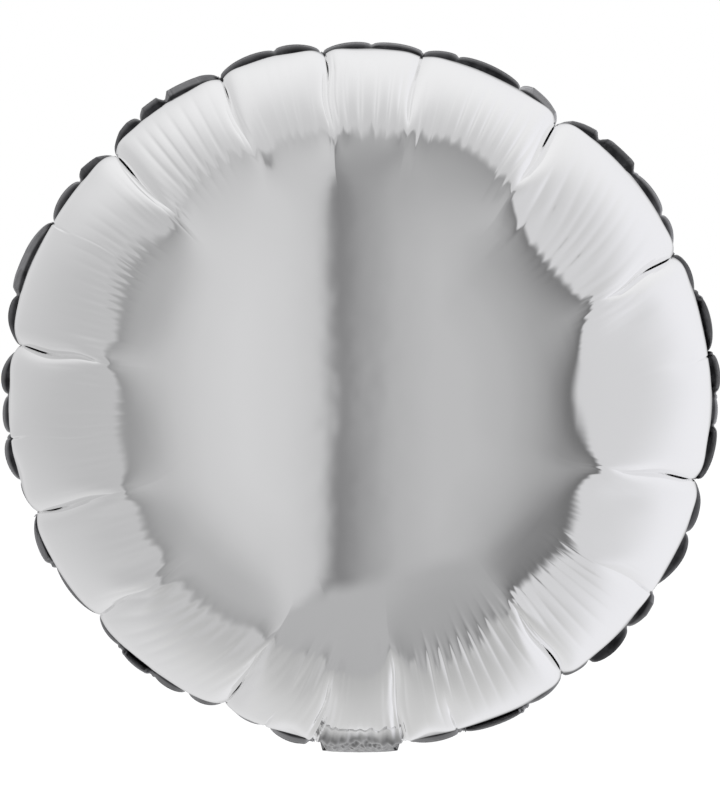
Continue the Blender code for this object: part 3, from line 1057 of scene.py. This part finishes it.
@dataclass
class Margin:
    """The welded margin outside the rim: a stiff band that buckles into scallops.

    Args:
        film: the blown-up film.
        material: the welded film.
        width: how far the margin reaches outside the weld.
        least_mm: height that still shows where two scallops meet.
        forward: share of the scallops that lean to the front.
        puckered: share of its width that the margin reaches where it stands upright.
        thickness: thickness of its two films.
        rows: where its rows of points lie, as shares of its width.
        seed: start of the random numbers.
        flat_from: bearing from which the margin hardly buckles, in degrees.
        flat_to: bearing up to which it hardly buckles.
        flatter: how much of the usual rounding its scallops keep there.
    """

    film: BlownFilm
    material: bpy.types.Material
    width: float = 0.0065
    least_mm: float = 0.8
    forward: float = 0.12
    puckered: float = 0.45
    thickness: float = 0.00012
    rows: tuple[float, ...] = (-0.06, 0.10, 0.28, 0.45, 0.60, 0.80, 1.0)
    seed: int = 21
    flat_from: float = 60.0
    flat_to: float = 112.0
    flatter: float = 0.4

    def scalloped(self) -> tuple[np.ndarray, np.ndarray, np.ndarray, np.ndarray]:
        """Work out the scallops, column by column.

        Returns:
            The lean to the back in radians, the painted reflection's brightness, the painted highlight on the edge and
            the share of its width that the margin reaches.
        """
        draw = np.random.default_rng(self.seed)
        angles = np.degrees(self.film.bearings) % 360
        shows, bright, painted_edge_highlight, way = np.zeros((4, len(angles)))
        for first, last, height, light in SCALLOPS:
            t = np.clip((angles - first) / (last - first), 0, 1)
            inside = (angles >= first) & (angles < last)
            peak = 0.5 + draw.uniform(-0.15, 0.15)
            t = t ** (math.log(0.5) / math.log(peak))
            flatness = self.flatter if self.flat_from <= first < self.flat_to else 1.0
            lens = np.clip(4 * t * (1 - t), 0, 1) ** (draw.uniform(0.22, 0.42) * flatness)
            shows[inside] = (height * lens + self.least_mm)[inside] / 1000
            # Each scallop has its own painted reflection, and a random painted highlight on its outer edge
            bright[inside], painted_edge_highlight[inside] = light, draw.uniform(0.1, 0.9)
            way[inside] = draw.choice((-1.0, 1.0), p=(self.forward, 1 - self.forward))
        # Where it flips from one side to the other it passes upright, and there it is puckered
        way = sum(np.roll(way, shift) for shift in range(-3, 4)) / 7
        reach = self.puckered + (1 - self.puckered) * np.abs(way)
        return way * np.arccos(np.clip(shows / self.width, 0, 1)), bright, painted_edge_highlight, reach

    def build(self) -> bpy.types.Object:
        """Build the margin, open at the neck.

        Returns:
            The margin.
        """
        rim = self.film.sides[Side.FRONT][-1]
        out = rim * (1, 0, 1)
        out /= np.linalg.norm(out, axis=1, keepdims=True)
        lean, bright, painted_edge_highlight, whole = self.scalloped()
        rows, painted_light_rows = [], []
        for share in self.rows:
            bend = lean[:, None] * min(1.0, max(0.0, share) * 3)
            reach = share * self.width * whole[:, None]
            rows.append(rim + reach * (out * np.cos(bend) + np.array([0, 1, 0]) * np.sin(bend)))
            # The painted reflection lies on the outer half of the margin, the painted highlight on its outer edge
            painted_light_rows.append(np.maximum(bright * smooth((share - 0.42) / 0.20), painted_edge_highlight * smooth((share - 0.62) / 0.34)))
        angles = np.degrees(self.film.bearings) % 360
        keep = np.nonzero((angles < NECK_GAP[0]) | (angles > NECK_GAP[1]))[0]
        keep = keep[np.argsort((angles[keep] - NECK_GAP[1]) % 360)]
        obj = sheet_object("seam_band_film", np.stack(rows)[:, keep], self.material, self.thickness)
        mark(obj, "painted_reflection", np.stack(painted_light_rows)[:, keep])
        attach(obj, "envelope")
        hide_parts("seam_band")
        return obj


@dataclass
class Neck:
    """The two films that leave the envelope at the bottom and gather into the tail.

    Args:
        film: the blown-up film.
        foil: its material.
        start: flat radius at which the neck's film starts on the panels.
        rounded: how much further out it starts at its sides.
        raggedness: how much its upper edge varies.
        lowest: height at which the neck turns into the tail.
        half: half the neck's width.
        arc: half the panels' arc that it is laid out from, in radians.
        weld_at: how far down the hanging rows the weld is, as a share.
        columns: points across it.
        upper_rows: rows of points that lie on the panel.
        lower_rows: rows from there down to the fold.
        ring_step: how far apart the upper rows are.
        thickness: the film's thickness.
    """

    film: BlownFilm
    foil: bpy.types.Material
    start: float = 0.174
    rounded: float = 0.004
    raggedness: float = 0.0025
    lowest: float = -0.1742
    half: float = 0.0205
    arc: float = 0.30
    weld_at: float = 0.6
    columns: int = 97
    upper_rows: int = 9
    lower_rows: int = 21
    ring_step: float = 0.0025
    thickness: float = 0.00010

    def build(self) -> list[bpy.types.Object]:
        """Return the front and the back film."""
        return [self.throat(Side.FRONT), self.throat(Side.BACK)]

    def on_panel(self, side: Side, across: np.ndarray, begin: np.ndarray) -> np.ndarray:
        """Return points of a panel.

        Args:
            side: front or back.
            across: places across the neck, from -1 to 1.
            begin: the flat radius at each of them.

        Returns:
            One point for each place.
        """
        grid, flat = self.film.sides[side], self.film.flat
        columns = np.nonzero(np.abs(turn_from(NECK_BEARING, self.film.bearings)) < self.arc)[0]
        ring = np.interp(begin, flat, np.arange(len(flat)))
        low = np.minimum(np.floor(ring).astype(int), len(flat) - 2)
        edges = []
        for rings in (low, low + 1):
            order = columns[np.argsort(grid[rings[0], columns, 0])]
            places = zip(across * self.half, rings)
            edges.append(np.array([follow(x, grid[index, order, 0], grid[index, order]) for x, index in places]))
        return edges[0] + (edges[1] - edges[0]) * (ring - low)[:, None]

    def hung(self, side: Side, across: np.ndarray, rows: np.ndarray) -> np.ndarray:
        """Return the rows that hang from the panel down to the tail's fold.

        Args:
            side: front or back.
            across: places across the neck, from -1 to 1.
            rows: the rows that lie on the panel.

        Returns:
            Rows by places across by x, y, z.
        """
        heading = rows[-1] - rows[-2]
        heading /= np.linalg.norm(heading, axis=1, keepdims=True)
        fold = self.lowest + 0.0008 * np.abs(across) ** 3
        end = np.stack([across * self.half * 0.9, np.full(len(across), side.value * 0.0011), fold], 1)
        if side is Side.FRONT:
            # The front film runs on under the tail's fold
            end += (0.0, 0.0008, -0.0013)
        first, second = rows[-1] + heading * 0.010, end + np.array([0, side.value * 0.0060, 0.0015])
        edge = smooth((np.abs(across) - 0.86) / 0.14)[:, None]
        lower = []
        for t in np.linspace(0, 1, self.lower_rows + 1)[1:]:
            hanging = rows[-1] * (1 - t) ** 3 + 3 * first * t * (1 - t) ** 2 + 3 * second * t * t * (1 - t) + end * t**3
            # Its sides stay on the panel as far as the weld, where the two films of the neck meet
            down = min(t / self.weld_at, 1.0)
            begin = np.interp(down, (0, 1), (self.start + self.ring_step * (self.upper_rows - 1), self.film.flat[-1]))
            held = self.on_panel(side, across, begin + self.rounded * across**4 * (1 - down))
            held = held + (end - held) * max(0.0, t - self.weld_at) / (1 - self.weld_at)
            lower.append(hanging + (held - hanging) * edge)
        return np.stack(lower)

    def throat(self, side: Side) -> bpy.types.Object:
        """Build one film of the neck, from the panel down to the tail's fold.

        Args:
            side: front or back.

        Returns:
            The film.
        """
        across = np.linspace(-1.0, 1.0, self.columns)
        pleats = Crumple(seed=31 + side.value, count=11, shortest=0.003, longest=0.011)
        ragged = self.raggedness * pleats.heights(across * self.half, np.zeros(self.columns))
        rows = []
        for index in range(self.upper_rows):
            begin = self.start + self.rounded * across**4 + ragged * (1 - index / (self.upper_rows - 1))
            rows.append(self.on_panel(side, across, begin + self.ring_step * index))
        points = np.concatenate([rows, self.hung(side, across, np.stack(rows))])
        depth = np.linspace(0, 1, len(points))[:, None]
        height = pleats.heights(across[None, :] * self.half, depth * 0.034, lean=0.6)
        # The film leaves the panel flush, puffs out between its pleats and lies flat again at the fold and the sides
        swell = 0.00009 + 0.0005 * smooth(depth / 0.1) + 0.0016 * (1 + height) * smooth((depth - 0.04) / 0.2)
        swell = swell * (1 - 0.8 * smooth((depth - 0.80) / 0.20)) * (1 - across**8)
        swell -= 0.0003 * across**8 * (1 - smooth((depth - 0.3) / 0.2))
        points[..., 1] += side.value * swell * 0.7
        points[..., 2] -= swell * 0.7 * (1 - smooth((depth - 0.45) / 0.35))
        obj = sheet_object(f"throat_{side.name.lower()}_sheet", points, self.foil, self.thickness)
        # Greyer lower down for crazing, and painted shade in the valleys between the pleats
        mark(obj, "crazing_and_pleat_shade", np.clip(smooth(depth / 0.18) * (0.92 - 0.25 * height), 0, 1))
        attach(obj, "envelope")
        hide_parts(f"throat_{side.name.lower()}_film")
        return obj


# The tail's middle line behind the balloon, as (y, z) in mm, from the fold to its open end
TAIL_LINE = (
    (1.600, -174.500), (11.500, -175.000), (20.900, -173.900), (30.000, -171.200),
    (38.700, -167.180), (46.500, -162.250), (54.200, -156.460), (61.100, -150.480),
)


@dataclass
class Tail:
    """The filling tail, folded up behind: two films welded down their sides, with the valve's strips between.

    Args:
        foil: the films' material.
        weld: the welds' material.
        clear: the valve strips' material.
        half: half the tail's width.
        weld_width: width of each side weld.
        strip_half: half the valve's width.
        strip_over: how far the valve's strips reach past the tail's end.
        lift: how far the films stand off the middle line.
        span: where the tail starts and ends, in metres from its fold.
        rows: rows of points along it.
        spacing: distance between its points across.
        crumple: its small creases.
        crumple_height: how high they are.
        thickness: the film's thickness.
    """

    foil: bpy.types.Material
    weld: bpy.types.Material
    clear: bpy.types.Material
    half: float = 0.0185
    weld_width: float = 0.0037
    strip_half: float = 0.013
    strip_over: float = 0.004
    lift: float = 0.00105
    span: tuple[float, float] = (-0.0030, 0.0640)
    rows: int = 110
    spacing: float = 0.0006
    crumple: Crumple = field(default_factory=lambda: Crumple(seed=5))
    crumple_height: float = 0.00042
    thickness: float = 0.00008

    def build(self) -> list[bpy.types.Object]:
        """Build the tail.

        Returns:
            Its six pieces.
        """
        inner, strip = self.half - self.weld_width, self.strip_half
        layers = (
            ("tail_outer", -inner, inner, 1.0, self.foil, "metallised_film", "tail_outer_film"),
            ("tail_inner", -inner, inner, -1.0, self.foil, "metallised_film", "tail_inner_film"),
            ("tail_weld_left", -self.half, -inner, 0.0, self.weld, "welded_margin", "tail_seal_left"),
            ("tail_weld_right", inner, self.half, 0.0, self.weld, "welded_margin", "tail_seal_right"),
            ("valve_outer", -strip, strip, 0.30, self.clear, "valve_film", "valve_outer_strip", self.strip_over),
            ("valve_inner", -strip, strip, -0.30, self.clear, "valve_film", "valve_inner_strip", self.strip_over),
        )
        return [self.piece(*layer) for layer in layers]

    def middle(self, along: np.ndarray) -> tuple[np.ndarray, np.ndarray]:
        """Return places of the middle line and the directions off it.

        Args:
            along: lengths from the fold.

        Returns:
            Places and directions, as (y, z).
        """
        line = np.array(TAIL_LINE) / 1000
        length = running(np.linalg.norm(np.diff(line, axis=0), axis=1))
        dense = np.linspace(0, length[-1], 200)
        curve = follow(dense, length, line)
        for _ in range(400):
            curve[1:-1] = (curve[:-2] + 2 * curve[1:-1] + curve[2:]) / 4
        heading = np.gradient(curve, axis=0)
        heading /= np.linalg.norm(heading, axis=1, keepdims=True)
        held = np.clip(along, 0, length[-1])
        way = follow(held, dense, heading)
        place = follow(held, dense, curve) + way * (along - held)[:, None]
        return place, np.stack([way[:, 1], -way[:, 0]], 1)

    def piece(
        self,
        name: str,
        left: float,
        right: float,
        layer: float,
        material: bpy.types.Material,
        slot: str,
        node: str,
        over: float = 0.0,
    ) -> bpy.types.Object:
        """Build one layer of the tail.

        Args:
            name: the object's name.
            left: its left edge.
            right: its right edge.
            layer: its place in the stack, from -1 inside to 1 outside.
            material: its material.
            slot: the record's finish; not used.
            node: the CAD node that it stands for.
            over: how far it reaches past the tail's end.

        Returns:
            The layer.
        """
        across = np.linspace(left, right, max(8, round((right - left) / self.spacing)))
        along = np.linspace(self.span[0], self.span[1] + over, self.rows)
        place, off = self.middle(along)
        bulge = 1 - (across / (self.half - self.weld_width * 0.6)) ** 2
        lift = layer * self.lift * np.clip(bulge, 0.0, 1.0)[None, :] * np.ones((len(along), 1))
        creased = self.crumple.heights(across[None, :], along[:, None]) * smooth(along / 0.006)[:, None]
        lift += self.crumple_height * creased
        points = np.empty((len(along), len(across), 3))
        points[..., 0] = across
        points[..., 1:] = place[:, None] + off[:, None] * lift[..., None]
        # The open end is cut a little unevenly
        ragged = 0.0004 * np.sin(across * 900 + layer) + 0.0003 * np.sin(across * 2300)
        end = smooth((along - along[-1] + 0.004) / 0.004)[:, None] * ragged[None, :]
        points[..., 1] += end * -off[:, None, 1]
        points[..., 2] += end * off[:, None, 0]
        obj = sheet_object(name, points, material, self.thickness)
        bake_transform(obj)
        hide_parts(node)
        return obj


# The tent's opening as the front mirrors it: bearing in degrees, radius as a share of the front's, shade at its edge
OPENING = (
    (0, 0.613, 0.74), (15, 0.618, 0.72), (24, 0.62, 0.70), (45, 0.618, 0.62), (52, 0.66, 0.50), (58, 0.715, 0.40),
    (77, 0.72, 0.40), (90, 0.70, 0.10), (112, 0.72, 0.12), (124, 0.735, 0.26), (135, 0.72, 0.28), (150, 0.70, 0.50),
    (160, 0.675, 0.56), (180, 0.66, 0.60), (195, 0.655, 0.55), (210, 0.685, 0.58), (225, 0.69, 0.54),
    (240, 0.70, 0.45), (250, 0.71, 0.15), (262, 0.75, 0.03), (278, 0.75, 0.05), (285, 0.73, 0.25), (300, 0.72, 0.46),
    (308, 0.69, 0.55), (315, 0.665, 0.62), (330, 0.67, 0.74), (337, 0.655, 0.74), (345, 0.625, 0.74),
    (360, 0.613, 0.74),
)

# How near the mirrored tent seems: half the front's radius over the camera's distance
NEARNESS = 0.077

# What the tent's shades follow, worked out in this order from a direction's x, y and z: a name, a sum and what goes
# into it. They find where a smooth round front mirrors the direction, so that the tent can be laid out there:
# "reach" from the middle, "right" and "up", as shares of the front's radius.
SUMS = (
    ("half", "MULTIPLY_ADD", "y", 0.5, 0.50001), ("half", "SQRT", "half"),
    ("rest", "MULTIPLY_ADD", "y", -0.5, 0.50001), ("rest", "SQRT", "rest"),
    ("near", "MULTIPLY", "rest", NEARNESS), ("root", "MULTIPLY", "half", 4.0),
    ("root", "MULTIPLY_ADD", "near", "near", "root"), ("root", "SQRT", "root"),
    ("reach", "SUBTRACT", "root", "near"), ("reach", "MULTIPLY", "reach", 0.5),
    ("scale", "MULTIPLY", "half", "rest"), ("scale", "MULTIPLY", "scale", 2.0), ("scale", "DIVIDE", "reach", "scale"),
    ("right", "MULTIPLY", "x", "scale"), ("up", "MULTIPLY", "z", "scale"),
    ("low", "MULTIPLY_ADD", "right", -0.3, "up"),
    ("turn", "ARCTAN2", "up", "right"), ("turn", "DIVIDE", "turn", TAU), ("turn", "FRACT", "turn"),
    ("slant", "ABSOLUTE", "z"), ("slant", "MULTIPLY_ADD", "slant", 0.3, "x"),
)

# Shares that go from 0 to 1: a name, what it follows, where that starts and ends, and how it goes
SHARES = (
    ("across", "right", -1.0, 1.0, "LINEAR"), ("slanting", "slant", -1.0, 1.0, "LINEAR"),
    ("behind_across", "x", -0.8, 0.8, "LINEAR"), ("low_part", "low", -0.48, -0.56, "SMOOTHSTEP"),
    ("high_part", "up", 0.60, 0.74, "SMOOTHSTEP"), ("outside", "depth", 0.015, -0.013, "SMOOTHSTEP"),
    ("overhead", "z", 0.35, 0.95, "SMOOTHSTEP"), ("underneath", "z", -0.62, -0.97, "SMOOTHSTEP"),
    ("far_out", "reach", 0.70, 0.97, "SMOOTHSTEP"), ("behind", "y", 0.84, 0.98, "SMOOTHSTEP"),
)

# The opening's greys from left to right, with a gap just left of the middle
OPENING_GREYS = (
    (0.150, "#D4D4D5"), (0.300, "#D4D4D5"), (0.350, "#D3D3D4"), (0.400, "#CFCFD0"), (0.440, "#C7C7C8"),
    (0.4525, "#B8B8B9"), (0.4625, "#8F8F90"), (0.4725, "#808081"), (0.485, "#8A8A8B"), (0.500, "#99999A"),
    (0.525, "#A6A6A7"), (0.550, "#B3B3B4"), (0.600, "#BDBDBE"), (0.830, "#BDBDBE"),
)

# How fast the shade at the opening's edge fades inwards
EDGE_SHADE = (
    (0.0, "#FFFFFF"), (0.15, "#DADADA"), (0.30, "#B8B8B8"), (0.45, "#979797"), (0.67, "#696969"), (1.0, "#000000"),
)

# The wall's greys near the opening and far from it: on the left, in the middle, on the right, overhead, underneath
WALL_GREYS = (
    ("#BABABB", "#C8C8C9", "#D4D4D6", "#C8C8C9", "#B2B2B2"),
    ("#C5C5C6", "#DEDEDF", "#F2F2F6", "#F3F3F4", "#D4D4D4"),
)

# The greys of the wall behind the balloon, from left to right
REAR_GREYS = (
    (0.0, "#868687"), (0.25, "#B9B9BA"), (0.46, "#CFCFD0"), (0.54, "#8E8E8F"), (0.75, "#B5B5B6"), (1.0, "#7E7E7F"),
)


@dataclass
class Studio:
    """A light tent with a grey opening towards the camera, a pale floor and the camera.

    Args:
        distance: from the camera to the weld plane, in metres.
        frame_height: height that the picture shows at the weld plane.
        sensor: width of the camera's sensor, in mm.
        floor: height of the floor.
        shade_depth: how far the shade at the opening's edge reaches, as a share of the front's radius.
        glow: strength of the tent's light.
        sun: strength of the light overhead.
        floor_radius: radius of the floor.
    """

    distance: float = 1.1
    frame_height: float = 0.3884
    sensor: float = 36.0
    floor: float = -1.0
    shade_depth: float = 0.33
    glow: float = 1.08
    sun: float = 1.5
    floor_radius: float = 40.0

    def build(self) -> None:
        """Make the light, the floor and the camera."""
        scene = bpy.context.scene
        scene.view_settings.view_transform = "Standard"
        self.tent(scene)
        self.lights(scene)
        self.ground()
        camera = bpy.data.cameras.new("camera")
        camera.sensor_width = self.sensor
        camera.lens = self.sensor * self.distance / self.frame_height
        eye = bpy.data.objects.new("camera", camera)
        eye.location = (0.0, -self.distance, 0.0)
        eye.rotation_euler = (math.pi / 2, 0.0, 0.0)
        scene.collection.objects.link(eye)
        scene.camera = eye

    def tent(self, scene: bpy.types.Scene) -> None:
        """Light the scene from a tent, whose wall changes in brightness with direction.

        Args:
            scene: the scene.
        """
        world = bpy.data.worlds.new("light_tent")
        scene.world = world
        world.use_nodes = True
        world.node_tree.nodes.clear()
        add = partial(add_node, world.node_tree)
        way = add("ShaderNodeSeparateXYZ", {0: add("ShaderNodeTexCoord", output="Generated")})
        found = dict(zip("xyz", way.node.outputs))
        for name, operation, *values in SUMS:
            inputs = {index: found.get(value, value) for index, value in enumerate(values)}
            found[name] = add("ShaderNodeMath", inputs, operation=operation)
        outline = tuple((bearing / 360, (radius, shade, 0, 1)) for bearing, radius, shade in OPENING)
        edge = add("ShaderNodeSeparateColor", {0: add("ShaderNodeValToRGB", {"Fac": found["turn"]}, stops=outline)})
        radius, shade, _ = edge.node.outputs
        found["depth"] = add("ShaderNodeMath", {0: radius, 1: found["reach"]}, operation="SUBTRACT")
        shares = {
            name: add("ShaderNodeMapRange", {0: found[source], 1: start, 2: stop}, interpolation_type=easing)
            for name, source, start, stop, easing in SHARES
        }
        # The grey opening that the camera looks through
        opening = add("ShaderNodeValToRGB", {"Fac": shares["across"]}, stops=OPENING_GREYS)
        inwards = add("ShaderNodeMath", {0: found["depth"], 1: self.shade_depth}, operation="DIVIDE")
        fall = add("ShaderNodeValToRGB", {"Fac": inwards}, stops=EDGE_SHADE)
        shade = add("ShaderNodeMath", {0: shade, 1: fall}, operation="MULTIPLY")
        layers = ((shares["low_part"], "#B2B2B3"), (shares["high_part"], "#BDBDBE"), (shade, "#000000"))
        for share, colour in layers:
            opening = add("ShaderNodeMix", {0: share, 6: opening, 7: colour}, 2, data_type="RGBA")
        # The tent's wall: lighter to the right, overhead and towards the back
        walls = []
        for left, middle, right, top, bottom in WALL_GREYS:
            wall = add(
                "ShaderNodeValToRGB", {"Fac": shares["slanting"]}, stops=((0.0, left), (0.5, middle), (1.0, right))
            )
            for share, colour in ((shares["overhead"], top), (shares["underneath"], bottom)):
                wall = add("ShaderNodeMix", {0: share, 6: wall, 7: colour}, 2, data_type="RGBA")
            walls.append(wall)
        rear = add("ShaderNodeValToRGB", {"Fac": shares["behind_across"]}, stops=REAR_GREYS)
        tone = walls[0]
        for share, over in ((shares["far_out"], walls[1]), (shares["behind"], rear)):
            tone = add("ShaderNodeMix", {0: share, 6: tone, 7: over}, 2, data_type="RGBA")
        tone = add("ShaderNodeMix", {0: shares["outside"], 6: opening, 7: tone}, 2, data_type="RGBA")
        light = add("ShaderNodeBackground", {"Color": tone, "Strength": self.glow})
        white = add("ShaderNodeBackground", {"Color": "#FFFFFF", "Strength": 1.0})
        seen = add("ShaderNodeLightPath", output="Is Camera Ray")
        mixed = add("ShaderNodeMixShader", {0: seen, 1: light, 2: white})
        add("ShaderNodeOutputWorld", {"Surface": mixed})

    def lights(self, scene: bpy.types.Scene) -> None:
        """Add a large soft light overhead, for the floor and whatever isn't a mirror.

        Args:
            scene: the scene.
        """
        lamp = bpy.data.lights.new("overhead_softbox", "SUN")
        lamp.energy, lamp.angle = self.sun, math.radians(70)
        obj = bpy.data.objects.new("overhead_softbox", lamp)
        obj.rotation_euler = (math.radians(18), 0.0, math.radians(12))
        obj.visible_glossy = False
        scene.collection.objects.link(obj)

    def ground(self) -> None:
        """Lay a pale, matt floor well below the balloon."""
        material, tree, _ = new_material("matt_white_paper")
        paper = add_node(tree, "ShaderNodeBsdfPrincipled", {"Base Color": "#F7F7F7", "Roughness": 0.9, "IOR": 1.45})
        add_node(tree, "ShaderNodeOutputMaterial", {"Surface": paper})
        bm = bmesh.new()
        bmesh.ops.create_circle(bm, cap_ends=True, radius=self.floor_radius, segments=64)
        bmesh.ops.translate(bm, verts=bm.verts, vec=(0.0, 0.0, self.floor))
        obj = put(bm, "floor", material)
        obj.visible_glossy = False


def main() -> None:
    """Build the balloon's pieces and the studio."""
    logging.basicConfig(level=logging.INFO, format="%(name)s: %(message)s")
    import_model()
    foil = MetallisedFilm().build()
    film = Inflation().run()
    # The margin's welded film is painted near-black, partly as shade
    weld, clear = WeldedFilm().build(), ValveFilm().build()
    made = Envelope(film, foil).build()
    made.append(Margin(film, weld).build())
    # The neck's film has been pulled and crumpled, which crazes its coat, and its material paints shade between its
    # pleats
    worn = GatheredFilm().build()
    made += Neck(film, worn).build()
    # The tail's side welds are smooth and keep most of their shine
    sealed = WeldedFilm(colour="#828284", bright="#A4A4A6", roughness=0.26, name="sealed_polyester_film").build()
    made += Tail(foil, sealed, clear).build()
    for obj in made:
        LOG.info("%s: %d faces", obj.name, len(obj.data.polygons))
    Studio().build()


if __name__ == "__main__":
    main()
